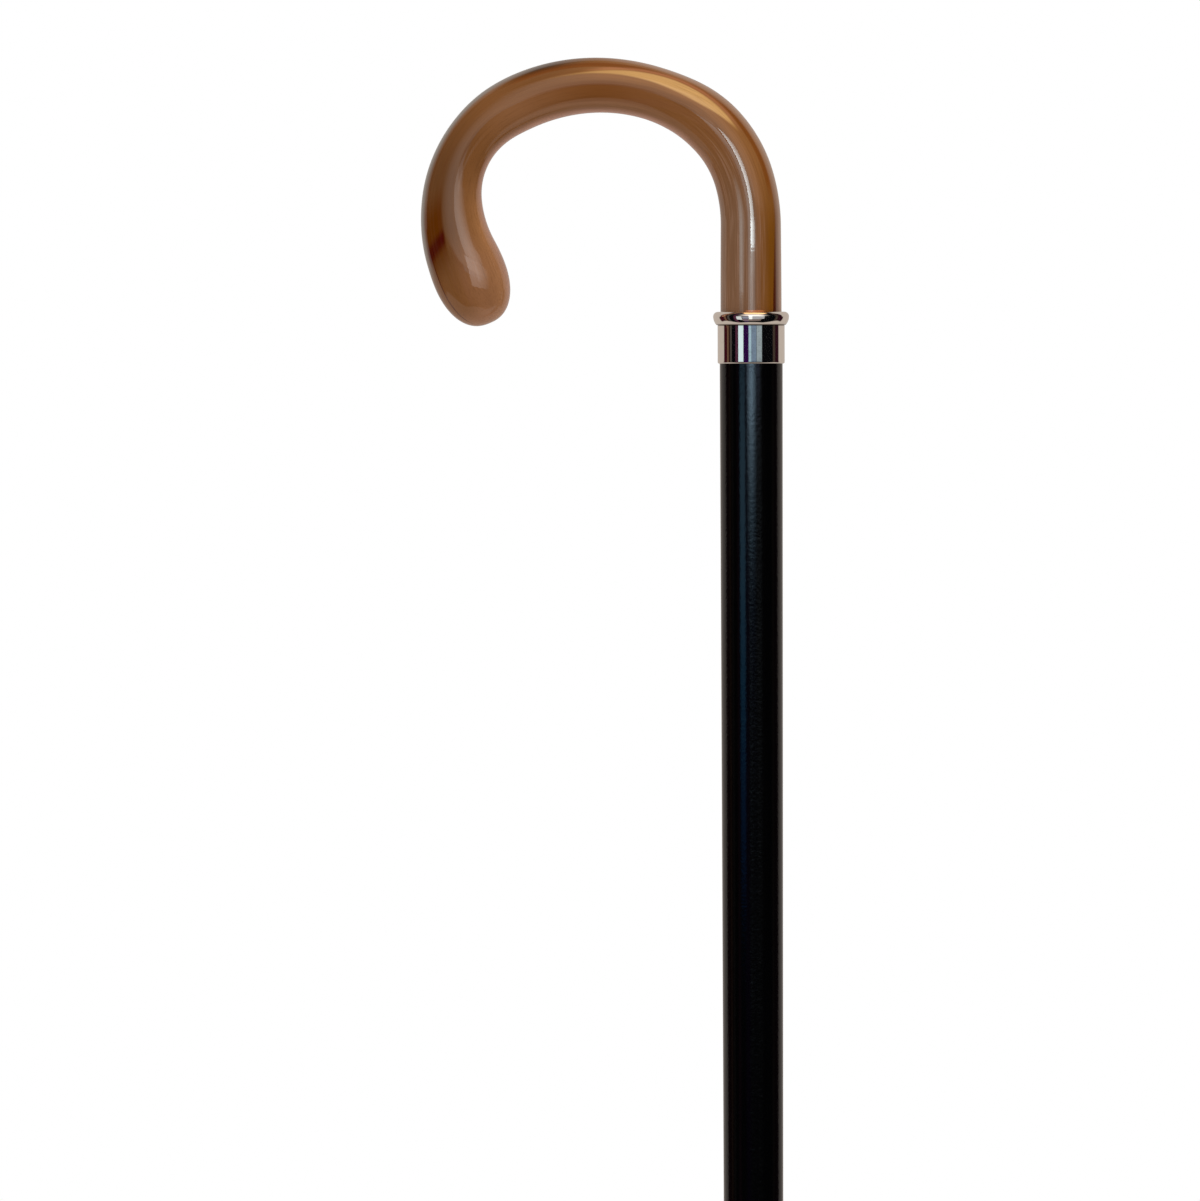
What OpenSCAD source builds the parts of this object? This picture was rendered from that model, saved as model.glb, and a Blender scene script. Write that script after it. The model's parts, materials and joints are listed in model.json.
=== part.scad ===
// Walking cane with a crook handle. A horn-effect crook is joined by a hidden stud to a
// tapered hardwood shaft, inside a plated collar made of a ring and a sleeve. A rubber
// ferrule with a steel washer in it pushes onto the tip.
// The cane stands along Z on the origin, and the crook hooks over towards -X.

/* [Cane] */
// Height from the ground to the top of the crook
cane_h = 914; // [760:1:1000]

/* [Crook path] */
// Straight length of the limb above the collar
limb_len = 27.5; // [26:0.5:40]
// Centreline radius of the easy bend that leaves the limb
lead_r = 53; // [45:1:70]
// Turn of that bend, in degrees
lead_turn = 16; // [10:1:20]
// Centreline radius of the shoulder over the limb
near_r = 38; // [34:1:44]
// Turn of that shoulder, in degrees
near_turn = 46; // [40:1:50]
// Centreline radius of the crown, where the palm rests
crown_r = 59; // [52:1:66]
// Turn of the crown, in degrees
crown_turn = 58; // [50:1:62]
// Centreline radius of the far shoulder
far_r = 34; // [30:1:40]
// Turn of the far shoulder, in degrees
far_turn = 58; // [50:1:62]
// Centreline radius of the last bend, which tucks the nose in
tuck_r = 44; // [38:1:52]
// Turn of the last bend, in degrees
tuck_turn = 24; // [16:1:30]
// Straight length of the nose, over which it rounds off
nose_len = 23; // [18:0.5:28]

/* [Crook girth] */
// Diameter where the limb meets the collar
limb_d = 19.4; // [19:0.1:21]
// Diameter over the near shoulder
near_d = 18.8; // [17:0.1:20]
// Distance of that diameter from the collar, along the centreline
near_at = 60; // [50:1:70]
// Diameter at the start of the crown
crown_d = 17.2; // [16:0.1:19]
// Distance of that diameter from the collar, along the centreline
crown_at = 85; // [78:1:100]
// Diameter at the end of the crown, under the heel of the hand
heel_d = 18; // [17:0.1:20]
// Distance of that diameter from the collar, along the centreline
heel_at = 126; // [110:1:134]
// Diameter of the waist in the far shoulder
waist_d = 16.9; // [15:0.1:18]
// Distance of the waist from the collar, along the centreline
waist_at = 147; // [140:1:158]
// Diameter that the nose swells to before it rounds off
nose_d = 25.1; // [22:0.1:28]
// Distance of that swelling from the collar, along the centreline
nose_at = 205; // [190:1:220]
// Bluntness of the nose, where 2 is an ellipse and more is squarer
nose_blunt = 2.4; // [2:0.1:3]

/* [Collar] */
// Outer diameter of the sleeve
sleeve_d = 21.3; // [20.6:0.1:23]
// Height of the sleeve that shows below the ring
sleeve_h = 12.3; // [10:0.1:20]
// Outer diameter of the ring at its widest
ring_d = 24.1; // [23.6:0.1:27]
// Height of the ring
ring_h = 4.2; // [3.8:0.1:6]
// Bore of the ring and the sleeve
collar_bore_d = 18.7; // [18:0.1:18.8]

/* [Shaft] */
// Diameter of the shaft just below the collar
shaft_d = 20; // [19.6:0.1:20.4]
// Diameter of the shaft at its tip
tip_d = 17; // [15:0.1:18]

/* [Joining stud] */
// Diameter of the stud
stud_d = 8; // [6:0.5:10]
// Depth of its hole in the crook
crook_hole = 30; // [20:1:32]
// Depth of its hole in the shaft
shaft_hole = 38; // [25:1:60]

/* [Ferrule] */
// Overall height of the rubber ferrule
ferrule_h = 44; // [36:1:55]
// Diameter of its foot
foot_d = 31; // [29:0.5:36]
// Height of the foot's flange
foot_h = 7; // [5:0.5:10]
// Diameter of its neck
neck_d = 23; // [22:0.5:24]
// Rubber under the washer, the tread included
sole_t = 6.4; // [5:0.1:9]
// Number of grooves in the tread
tread_grooves = 3; // [1:1:3]
// Depth of the tread grooves
tread_t = 1.6; // [0.8:0.1:2.5]
// Number of ribs round the neck
neck_ribs = 3; // [0:1:5]
// Thickness of the steel washer
washer_t = 1.6; // [1:0.1:2.5]

/* [Hidden] */

// Fineness of the turned pieces, and of the crook's swept skin
$fn = 96;
crook_sides = 40;
ring_gap = 2.6;
nose_rings = 13;

// Clearances: glue film in the collar, round the stud and past its ends, and the push fit
// of the tip in the ferrule
glue_gap = 0.05;
stud_gap = 0.1;
stud_end_gap = 1;
push_gap = 0.05;

// Bends of the crook in order from the limb, each a centreline radius and a turn
bends = [[lead_r, lead_turn], [near_r, near_turn], [crown_r, crown_turn],
         [far_r, far_turn], [tuck_r, tuck_turn]];
// Girth of the crook, each a distance along the centreline and a diameter
girth = [[0, limb_d], [near_at, near_d], [crown_at, crown_d], [heel_at, heel_d],
         [waist_at, waist_d], [nose_at, nose_d]];

// Length of the centreline up to the nose, and to its very end
function bend_len(b) = b[0] * b[1] * PI / 180;
function total(v, i = 0) = i < len(v) ? v[i] + total(v, i + 1) : 0;
swept_len = limb_len + total([for (b = bends) bend_len(b)]);
path_len = swept_len + nose_len;

// Point and heading at distance s along the centreline, as [x, z, heading]. The path
// runs straight up the limb, then round each bend to the left, then straight again.
function along(p, s) = [p[0] + s * cos(p[2]), p[1] + s * sin(p[2]), p[2]];
function round_bend(p, r, a) =
    [p[0] - r * sin(p[2]) + r * sin(p[2] + a), p[1] + r * cos(p[2]) - r * cos(p[2] + a),
     p[2] + a];
function after_limb(p, s, i = 0) =
    i == len(bends) ? along(p, s)
    : s <= bend_len(bends[i]) ? round_bend(p, bends[i][0], s / bends[i][0] * 180 / PI)
    : after_limb(round_bend(p, bends[i][0], bends[i][1]), s - bend_len(bends[i]), i + 1);
function path(s) =
    s <= limb_len ? along([0, 0, 90], s)
    : after_limb(along([0, 0, 90], limb_len), s - limb_len);

// Radius at distance s: the girths are joined by easy curves, and the nose rounds off
function ease(t) = (1 - cos(180 * min(max(t, 0), 1))) / 2;
function swelling(s, i = 0) =
    i == len(girth) - 1 ? 0
    : (girth[i + 1][1] - girth[i][1]) * ease((s - girth[i][0]) / (girth[i + 1][0] - girth[i][0]))
      + swelling(s, i + 1);
function round_off(u) = pow(max(1 - pow(u, nose_blunt), 0), 1 / nose_blunt);
function radius(s) =
    (limb_d + swelling(s)) / 2 * round_off(max(s - swept_len, 0) / nose_len);

// Heights, from the ground up
washer_top = sole_t + washer_t;
seat_spare = 2;
seat_top = ferrule_h + seat_spare;
crook_rise = max([for (s = [0 : 0.5 : path_len]) path(s)[1] + radius(s)]);
limb_foot = cane_h - crook_rise;
ring_foot = limb_foot - ring_h;
sleeve_foot = ring_foot - sleeve_h;
// The crook's spigot and the shaft's spigot meet inside the sleeve, just below the ring
spigot_d = collar_bore_d - 2 * glue_gap;
spigot_lap = 1.4;
spigot_joint = ring_foot - spigot_lap;

// Distances of the crook's skin rings along the path, closer together on the nose
body_rings = ceil(swept_len / ring_gap);
ring_at = concat([for (i = [0 : body_rings]) swept_len * i / body_rings],
                 [for (i = [1 : nose_rings]) swept_len + nose_len * sin(90 * i / (nose_rings + 1))]);

// Rounds and chamfers, and the half angle of a drill's point
ring_crown_r = 1.9;
ring_flank_r = 4;
lip_r = 0.6;
chamfer = 0.5;
drill_point = 59;

// Mouldings of the ferrule
rubber_edge_r = 1.2;
flare_r = 12;
rib_r = 0.9;
rib_stand = 0.5;
rib_pitch = 4.2;
mouth_to_rib = 5;
mouth_lead = 1;
washer_grip = 0.7;
tread_disc_r = 3.8;
tread_groove_w = 1.5;
tread_land_w = 2;

module crook_skin() {
    points = [for (s = ring_at) let (p = path(s), r = radius(s))
                  for (k = [0 : crook_sides - 1]) let (a = 360 * k / crook_sides)
                      [p[0] + r * cos(a) * sin(p[2]), r * sin(a), p[1] - r * cos(a) * cos(p[2])]];
    tip = path(path_len);
    last = len(ring_at) - 1;
    foot = [for (k = [0 : crook_sides - 1]) k];
    sides = [for (i = [0 : last - 1]) for (k = [0 : crook_sides - 1])
                 let (a = i * crook_sides + k, b = i * crook_sides + (k + 1) % crook_sides)
                     for (f = [[a, a + crook_sides, b], [b, a + crook_sides, b + crook_sides]]) f];
    nose = [for (k = [0 : crook_sides - 1])
                [last * crook_sides + k, len(points), last * crook_sides + (k + 1) % crook_sides]];
    polyhedron(concat(points, [[tip[0], 0, tip[1]]]), concat([foot], sides, nose));
}

// Hole for the stud, with a drill's point, that runs from z = 0 up to its full depth
module stud_hole(depth) {
    r = stud_d / 2 + stud_gap;
    rotate_extrude()
        polygon([[0, 0], [r, 0], [r, depth], [0, depth + r / tan(drill_point)]]);
}

module crook_handle() {
    color("#8a5a32")
    difference() {
        union() {
            translate([0, 0, limb_foot]) crook_skin();
            translate([0, 0, spigot_joint])
                cylinder(h = limb_foot - spigot_joint + chamfer, d = spigot_d);
        }
        translate([0, 0, spigot_joint]) stud_hole(crook_hole);
    }
}

module joining_stud() {
    length = crook_hole + shaft_hole - 2 * stud_end_gap;
    r = stud_d / 2;
    lead = 2 * chamfer;
    color("#9a9ca0")
    translate([0, 0, spigot_joint - shaft_hole + stud_end_gap])
        rotate_extrude()
            polygon([[0, 0], [r - lead, 0], [r, lead], [r, length - lead], [r - lead, length],
                     [0, length]]);
}

// Ring with a rounded crown and a flatter flank that overhangs the sleeve
module collar_ring() {
    r = ring_d / 2;
    waist = ring_h - ring_crown_r;
    color("#d9d2c8")
    translate([0, 0, ring_foot])
        rotate_extrude()
            difference() {
                union() {
                    translate([r - ring_crown_r, waist]) circle(ring_crown_r);
                    square([r - ring_crown_r, ring_h]);
                    intersection() {
                        translate([r - ring_flank_r, waist]) circle(ring_flank_r);
                        square([r, waist]);
                    }
                }
                translate([0, -1]) square([collar_bore_d / 2, ring_h + 2]);
            }
}

// Plain tube with its lower lip rolled over
module collar_sleeve() {
    r = sleeve_d / 2;
    bore = collar_bore_d / 2;
    color("#cfd2d6")
    translate([0, 0, sleeve_foot])
        rotate_extrude()
            union() {
                translate([r - lip_r, lip_r]) circle(lip_r);
                translate([bore, 0]) square([r - lip_r - bore, sleeve_h]);
                translate([bore, lip_r]) square([r - bore, sleeve_h - lip_r]);
            }
}

module shaft() {
    top = spigot_d / 2;
    color("#141416")
    difference() {
        rotate_extrude()
            polygon([[0, washer_top], [tip_d / 2 - chamfer, washer_top],
                     [tip_d / 2, washer_top + chamfer], [tip_d / 2, seat_top],
                     [shaft_d / 2, sleeve_foot], [top, sleeve_foot],
                     [top, spigot_joint], [0, spigot_joint]]);
        translate([0, 0, spigot_joint]) mirror([0, 0, 1]) stud_hole(shaft_hole);
    }
}

// Half section of a bar from the axis out to r, with its outer corners rounded
module round_bar(r, low, high) {
    edge = rubber_edge_r;
    translate([0, low]) square([r - edge, high - low]);
    translate([0, low + edge]) square([r, high - low - 2 * edge]);
    for (z = [low + edge, high - edge]) translate([r - edge, z]) circle(edge);
}

// Half section of the ferrule's outside: foot, flare, neck and ribs
module ferrule_outline() {
    neck = neck_d / 2;
    flange = foot_d / 2 - rubber_edge_r;
    flare_w = flange - neck;
    flare_h = sqrt(flare_w * (2 * flare_r - flare_w));
    round_bar(foot_d / 2, 0, foot_h);
    round_bar(neck, 0, ferrule_h);
    // The flare rises from the flange and runs out along the neck
    difference() {
        square([flange, foot_h + flare_h]);
        translate([neck + flare_r, foot_h + flare_h]) circle(flare_r);
    }
    if (neck_ribs > 0)
        for (i = [0 : neck_ribs - 1])
            translate([neck + rib_stand - rib_r, ferrule_h - mouth_to_rib - rib_pitch * i])
                circle(rib_r);
}

// Half section of the rings cut into the sole, round a flat disc
module tread() {
    for (i = [0 : tread_grooves - 1])
        translate([tread_disc_r + i * (tread_groove_w + tread_land_w), -1])
            square([tread_groove_w, tread_t + 1]);
}

module ferrule() {
    bore = tip_d / 2 + push_gap;
    color("#1c1c1e")
    rotate_extrude()
        difference() {
            ferrule_outline();
            tread();
            // Pocket that grips the washer
            translate([0, sole_t]) square([bore + washer_grip, washer_t]);
            // Bore for the tip, with a lead at its mouth
            polygon([[0, washer_top], [bore, washer_top], [bore, ferrule_h - mouth_lead],
                     [bore + mouth_lead, ferrule_h], [bore + mouth_lead, ferrule_h + 1],
                     [0, ferrule_h + 1]]);
        }
}

module ferrule_washer() {
    color("#b8babd")
    translate([0, 0, sole_t])
        cylinder(h = washer_t, r = tip_d / 2 + push_gap + washer_grip);
}

crook_handle();
joining_stud();
collar_ring();
collar_sleeve();
shaft();
ferrule();
ferrule_washer();
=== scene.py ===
import json
import math

import bmesh
import bpy
from bpy.props import FloatProperty, FloatVectorProperty, IntProperty, PointerProperty
from mathutils import Matrix, Vector


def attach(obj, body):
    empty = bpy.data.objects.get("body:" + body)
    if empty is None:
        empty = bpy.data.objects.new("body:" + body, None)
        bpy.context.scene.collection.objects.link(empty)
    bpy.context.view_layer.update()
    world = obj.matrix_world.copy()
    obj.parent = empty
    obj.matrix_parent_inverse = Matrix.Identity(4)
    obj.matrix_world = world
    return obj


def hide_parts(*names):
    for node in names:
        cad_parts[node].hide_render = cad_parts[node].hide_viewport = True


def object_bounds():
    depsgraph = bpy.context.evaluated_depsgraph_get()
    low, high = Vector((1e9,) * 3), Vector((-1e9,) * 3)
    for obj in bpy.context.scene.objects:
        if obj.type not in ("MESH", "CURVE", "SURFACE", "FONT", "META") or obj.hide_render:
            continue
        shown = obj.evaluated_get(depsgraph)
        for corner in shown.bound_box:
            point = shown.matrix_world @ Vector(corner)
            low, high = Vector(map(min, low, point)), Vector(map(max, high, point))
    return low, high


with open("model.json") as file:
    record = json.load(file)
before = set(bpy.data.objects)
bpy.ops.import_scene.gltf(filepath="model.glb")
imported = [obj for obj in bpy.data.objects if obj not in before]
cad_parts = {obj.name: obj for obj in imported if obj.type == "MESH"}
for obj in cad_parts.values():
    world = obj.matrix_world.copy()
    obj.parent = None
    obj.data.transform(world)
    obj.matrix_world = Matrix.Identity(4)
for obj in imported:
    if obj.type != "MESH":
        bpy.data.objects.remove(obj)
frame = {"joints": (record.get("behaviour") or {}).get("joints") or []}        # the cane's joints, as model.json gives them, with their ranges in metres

bl_info = {
    "name": "Crook Handle Walking Cane",
    "version": (1, 0, 0),
    "blender": (4, 5, 0),
    "location": "3D View > Sidebar > Cane",
    "description": "Builds a walking cane with a horn-effect crook, a plated collar and a rubber foot",
    "category": "Object",
}

CAD_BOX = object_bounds()
CANE_TOP = CAD_BOX[1].z
FULL_TURN = 2 * math.pi


def length(name, default, description):
    """A size in metres that the sidebar shows as a length."""
    return FloatProperty(name=name, default=default, description=description, unit="LENGTH",
                         subtype="DISTANCE", precision=5)


def angle(name, degrees, description):
    """An angle that the sidebar shows in degrees."""
    return FloatProperty(name=name, default=math.radians(degrees), description=description,
                         unit="ROTATION", subtype="ANGLE")


def colour(name, default, description):
    """A linear colour with its swatch."""
    return FloatVectorProperty(name=name, default=default, description=description, size=3,
                               subtype="COLOR", min=0.0, max=1.0)


class CrookSizes(bpy.types.PropertyGroup):
    """The crook's path and girth, as the solid has them."""

    cane_h: length("Cane height", CANE_TOP, "From the ground to the top of the crook")
    limb_len: length("Limb", 0.0275, "Straight length of the limb above the collar")
    lead_r: length("Lead radius", 0.053, "Centreline radius of the bend that leaves the limb")
    lead_turn: angle("Lead turn", 16, "Turn of that bend")
    near_r: length("Near shoulder radius", 0.038, "Centreline radius of the shoulder over the limb")
    near_turn: angle("Near shoulder turn", 46, "Turn of that shoulder")
    crown_r: length("Crown radius", 0.059, "Centreline radius where the palm rests")
    crown_turn: angle("Crown turn", 58, "Turn of the crown")
    far_r: length("Far shoulder radius", 0.034, "Centreline radius of the far shoulder")
    far_turn: angle("Far shoulder turn", 58, "Turn of the far shoulder")
    tuck_r: length("Tuck radius", 0.044, "Centreline radius of the bend that tucks the nose in")
    tuck_turn: angle("Tuck turn", 24, "Turn of the last bend")
    nose_len: length("Nose length", 0.023, "Straight length over which the nose rounds off")
    limb_d: length("Limb diameter", 0.0194, "Diameter where the limb meets the collar")
    near_d: length("Shoulder diameter", 0.0188, "Diameter over the near shoulder")
    near_at: length("Shoulder at", 0.060, "Distance of that diameter along the centreline")
    crown_d: length("Crown diameter", 0.0172, "Diameter at the start of the crown")
    crown_at: length("Crown at", 0.085, "Distance of that diameter along the centreline")
    heel_d: length("Heel diameter", 0.018, "Diameter under the heel of the hand")
    heel_at: length("Heel at", 0.126, "Distance of that diameter along the centreline")
    waist_d: length("Waist diameter", 0.0169, "Diameter of the waist in the far shoulder")
    waist_at: length("Waist at", 0.147, "Distance of the waist along the centreline")
    nose_d: length("Nose diameter", 0.0251, "Diameter that the nose swells to")
    nose_at: length("Nose at", 0.205, "Distance of that swelling along the centreline")
    nose_blunt: FloatProperty(name="Nose bluntness", default=2.4, min=2.0, max=3.0,
                              description="2 is an ellipse, and more is squarer")


class CollarSizes(bpy.types.PropertyGroup):
    """The plated ring and sleeve, and the spigots inside them."""

    sleeve_d: length("Sleeve diameter", 0.0213, "Outer diameter of the sleeve")
    sleeve_h: length("Sleeve height", 0.0123, "Height of the sleeve below the ring")
    ring_d: length("Ring diameter", 0.0241, "Outer diameter of the ring")
    ring_h: length("Ring height", 0.0042, "Height of the ring")
    ring_crown_r: length("Ring crown radius", 0.0015, "Radius of the ring's rounded top")
    ring_flank_r: length("Ring flank radius", 0.004, "Radius of the ring's lower flank")
    bore_d: length("Bore", 0.0187, "Bore of the ring and the sleeve")
    lip_r: length("Lip radius", 0.0006, "Roll of the sleeve's lower lip")
    spigot_d: length("Spigot diameter", 0.0186, "Diameter of the two spigots inside the collar")
    spigot_lap: length("Spigot lap", 0.0014, "Depth below the ring at which the spigots meet")


class ShaftSizes(bpy.types.PropertyGroup):
    """The tapered shaft, and the stud that joins it to the crook."""

    shaft_d: length("Shaft diameter", 0.020, "Diameter just below the collar")
    tip_d: length("Tip diameter", 0.017, "Diameter of the tip in the ferrule")
    seat_spare: length("Seat spare", 0.002, "Parallel length of the tip above the ferrule")
    chamfer: length("Chamfer", 0.0005, "Chamfer at the ends")
    stud_d: length("Stud diameter", 0.008, "Diameter over the stud's thread")
    stud_gap: length("Stud gap", 0.0001, "Clearance round the stud")
    stud_end_gap: length("Stud end gap", 0.001, "Clearance past the stud's ends")
    crook_hole: length("Crook hole", 0.030, "Depth of the stud's hole in the crook")
    shaft_hole: length("Shaft hole", 0.038, "Depth of the stud's hole in the shaft")
    drill_point: angle("Drill point", 59, "Half angle at the bottom of the holes")
    pitch: length("Thread pitch", 0.00125, "Pitch of the stud's thread")
    thread_depth: length("Thread depth", 0.0007, "Depth of the stud's thread")


class FerruleSizes(bpy.types.PropertyGroup):
    """The rubber ferrule and the washer in it."""

    ferrule_h: length("Height", 0.044, "Overall height of the ferrule")
    foot_d: length("Foot diameter", 0.031, "Diameter of the foot")
    foot_h: length("Foot height", 0.007, "Height of the foot's flange")
    neck_d: length("Neck diameter", 0.023, "Diameter of the neck")
    sole_t: length("Sole", 0.0064, "Rubber under the washer")
    tread_t: length("Tread depth", 0.0016, "Depth of the tread grooves")
    tread_disc_r: length("Tread disc radius", 0.0038, "Radius of the flat disc in the tread")
    groove_w: length("Groove width", 0.0015, "Width of a tread groove")
    land_w: length("Land width", 0.002, "Width of the land between grooves")
    washer_t: length("Washer", 0.0016, "Thickness of the steel washer")
    washer_grip: length("Washer grip", 0.0007, "Reach of the washer into the rubber")
    push_gap: length("Push gap", 0.00005, "Clearance round the tip")
    mouth_lead: length("Mouth lead", 0.001, "Chamfer at the mouth of the bore")
    edge_r: length("Edge radius", 0.0012, "Round on the rubber's edges")
    flare_r: length("Flare radius", 0.012, "Radius of the flare between neck and foot")
    rib_r: length("Rib radius", 0.0009, "Radius of a rib")
    rib_stand: length("Rib stand", 0.0005, "Stand of a rib from the neck")
    rib_pitch: length("Rib pitch", 0.0042, "Distance between ribs")
    mouth_to_rib: length("Mouth to rib", 0.005, "Distance from the mouth to the first rib")
    grooves: IntProperty(name="Grooves", default=3, min=1, max=3,
                         description="Number of grooves in the tread")
    ribs: IntProperty(name="Ribs", default=3, min=0, max=5,
                      description="Number of ribs round the neck")


class FinishColours(bpy.types.PropertyGroup):
    """The colours of the finishes."""

    horn: colour("Horn", (0.205, 0.081, 0.025), "Mid brown of the horn resin")
    # Painted reflection: the limb's inner half is dulled to stand in for a wide dim reflection on the
    # horn.
    horn_grey: colour("Horn, grey", (0.184, 0.093, 0.048), "Greyer brown of the limb's inner half")
    horn_core: colour("Horn, core", (0.244, 0.104, 0.042), "Paler brown along the crown's inner half")
    horn_shade: colour("Horn, shade", (0.150, 0.041, 0.002), "Dark core deep in the crown")
    horn_amber: colour("Horn, amber", (0.185, 0.062, 0.005), "Clear amber of the limb's outer half")
    horn_gold: colour("Horn, gold", (0.286, 0.116, 0.034), "Warm brown round the flame")
    horn_russet: colour("Horn, russet", (0.195, 0.047, 0.002), "Reddish line outside the flame")
    # Painted light: these two colours paint light shining through the translucent resin, as a bright
    # streak over the crown and its soft edge.
    horn_caramel: colour("Horn, caramel", (0.670, 0.368, 0.132), "Bright flame in the horn resin")
    horn_rust: colour("Horn, rust", (0.575, 0.230, 0.105), "Soft edge of the bright flame")
    horn_deep: colour("Horn, deep", (0.053, 0.004, 0.001), "Dark line up the limb's outer half")
    # Painted light: this colour paints a reflection along the near shoulder's outer rim, and highlights
    # along fibres in the limb.
    horn_pale: colour("Horn, pale", (0.395, 0.236, 0.160), "Pale outer rim of the near shoulder")
    # Painted reflection: a pale band along the outer rim over the crown and the far side.
    horn_mist: colour("Horn mist", (0.220, 0.200, 0.175), "Grey outer rim over the crown and the far side")
    # Painted reflection: a dark band along the outer rim on top of the crown, in place of a dark
    # reflection there.
    horn_soot: colour("Horn, soot", (0.012, 0.003, 0.001), "Dark outer rim on top of the crown")
    horn_olive: colour("Horn, olive", (0.120, 0.047, 0.015), "Dull brown of the far shoulder's rim")
    horn_swell: colour("Horn, swell", (0.435, 0.193, 0.070), "Golden inner half of the nose")
    horn_blush: colour("Horn, blush", (0.385, 0.176, 0.090), "Pinkish brown of the nose's tip")
    # Painted reflection: a band along the inner rim stands in for light reflected at the rim.
    horn_pink: colour("Horn, pink", (0.469, 0.223, 0.143), "Pinkish inner rim")
    horn_bark: colour("Horn, bark", (0.095, 0.023, 0.001), "Soft dark patch above the nose")
    horn_burnt: colour("Horn, burnt", (0.058, 0.004, 0.001), "Burnt streak on that patch")
    # Painted light: the resin just above the ring is painted as if lit through, as a glow.
    horn_glow: colour("Horn, glow", (0.75, 0.24, 0.08), "Glow of the resin just above the ring")
    horn_fibre: colour("Horn, fibre", (0.095, 0.030, 0.006), "Fibres and clouds in the resin")
    plate: colour("Plate", (0.90, 0.86, 0.80), "Warm nickel plate")
    lacquer: colour("Lacquer", (0.0002, 0.0002, 0.0003), "Black lacquer of the shaft")
    rubber: colour("Rubber", (0.022, 0.022, 0.024), "Black rubber of the foot")
    steel: colour("Steel", (0.55, 0.56, 0.58), "Plain steel of the stud and the washer")


class StudioSizes(bpy.types.PropertyGroup):
    """The camera and the studio round the cane."""

    distance: length("Camera distance", 3.0, "From the camera to the cane")
    camera_z: length("Camera height", 0.815, "Height of the camera, level with the collar")
    aim_x: length("Aim, across", -0.0483, "Where the middle of the picture falls")
    aim_z: length("Aim, up", 0.7415, "Where the middle of the picture falls")
    picture_w: length("Picture width", 0.3819, "Width that the picture takes in at the cane")
    roll: angle("Roll", -0.18, "Lean of the picture")
    ambient: FloatProperty(name="Ambient", default=0.84, description="Plain light from all round")


class CaneSettings(bpy.types.PropertyGroup):
    """Everything that a user would change."""

    crook: PointerProperty(type=CrookSizes)
    collar: PointerProperty(type=CollarSizes)
    shaft: PointerProperty(type=ShaftSizes)
    ferrule: PointerProperty(type=FerruleSizes)
    colours: PointerProperty(type=FinishColours)
    studio: PointerProperty(type=StudioSizes)


class CrookPath:
    """The crook's centreline and girth, both read by the distance along it."""

    def __init__(self, sizes):
        self.sizes = sizes
        self.bends = [(getattr(sizes, name + "_r"), getattr(sizes, name + "_turn"))
                      for name in ("lead", "near", "crown", "far", "tuck")]
        self.girth = [(0.0, sizes.limb_d)]
        self.girth += [(getattr(sizes, name + "_at"), getattr(sizes, name + "_d"))
                       for name in ("near", "crown", "heel", "waist", "nose")]
        self.swept = sizes.limb_len + sum(r * turn for r, turn in self.bends)
        self.total = self.swept + sizes.nose_len
        steps = 400
        marks = [self.total * i / steps for i in range(steps + 1)]
        self.limb_foot = sizes.cane_h - max(self.at(s)[1] + self.radius(s) for s in marks)

    def at(self, s):
        """The point and the heading at distance s: x, height above the limb's foot, angle."""
        x, z, heading = 0.0, min(s, self.sizes.limb_len), math.pi / 2
        left = s - self.sizes.limb_len
        for r, turn in self.bends:
            if left <= 0:
                return x, z, heading
            step = min(left / r, turn)
            x += r * (math.sin(heading + step) - math.sin(heading))
            z += r * (math.cos(heading) - math.cos(heading + step))
            heading += step
            left -= r * turn
        past = max(left, 0.0)
        return x + past * math.cos(heading), z + past * math.sin(heading), heading

    def radius(self, s):
        """The radius at distance s: easy curves between the girths, and the rounded nose."""
        d = self.sizes.limb_d
        for (start, before), (end, after) in zip(self.girth, self.girth[1:]):
            share = min(max((s - start) / (end - start), 0.0), 1.0)
            d += (after - before) * (1 - math.cos(math.pi * share)) / 2
        u = max(s - self.swept, 0.0) / self.sizes.nose_len
        blunt = self.sizes.nose_blunt
        return d / 2 * max(1 - u ** blunt, 0.0) ** (1 / blunt)


class Heights:
    """The heights that the pieces share, from the ground up."""

    def __init__(self, settings):
        collar, shaft, ferrule = settings.collar, settings.shaft, settings.ferrule
        self.path = CrookPath(settings.crook)
        self.limb_foot = self.path.limb_foot
        self.ring_foot = self.limb_foot - collar.ring_h
        self.sleeve_foot = self.ring_foot - collar.sleeve_h
        self.spigot_joint = self.ring_foot - collar.spigot_lap
        self.washer_top = ferrule.sole_t + ferrule.washer_t
        self.seat_top = ferrule.ferrule_h + shaft.seat_spare
        self.hole_r = shaft.stud_d / 2 + shaft.stud_gap
        self.drill_tip = self.hole_r / math.tan(shaft.drill_point)


def arc(cx, cz, r, start, end, steps):
    """Points round part of a circle, from one angle to another in degrees."""
    angles = [math.radians(start + (end - start) * i / steps) for i in range(steps + 1)]
    return [(cx + r * math.cos(a), cz + r * math.sin(a)) for a in angles]


def turned(outline, sides=128, closed=False):
    """A round piece: the outline, as radius and height, is spun once about the Z axis."""
    bm = bmesh.new()
    verts = [bm.verts.new((r, 0.0, z)) for r, z in outline]
    pairs = list(zip(verts, verts[1:] + verts[:1])) if closed else list(zip(verts, verts[1:]))
    edges = [bm.edges.new(pair) for pair in pairs]
    bmesh.ops.spin(bm, geom=verts + edges, cent=(0, 0, 0), axis=(0, 0, 1), angle=FULL_TURN,
                   steps=sides, use_merge=True)
    bmesh.ops.remove_doubles(bm, verts=bm.verts[:], dist=1e-7)
    return bm


def section(point, heading, radius, foot):
    """The matrix that sets a unit circle square across the crook's centreline."""
    out = Vector((math.sin(heading), 0.0, -math.cos(heading)))
    along = Vector((math.cos(heading), 0.0, math.sin(heading)))
    matrix = Matrix.Identity(4)
    matrix.col[0] = (out * radius).to_4d()
    matrix.col[1] = (0.0, radius, 0.0, 0.0)
    matrix.col[2] = along.to_4d()
    matrix.col[3] = (point[0], 0.0, foot + point[1], 1.0)
    matrix.col[0][3] = matrix.col[2][3] = 0.0
    return matrix


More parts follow.
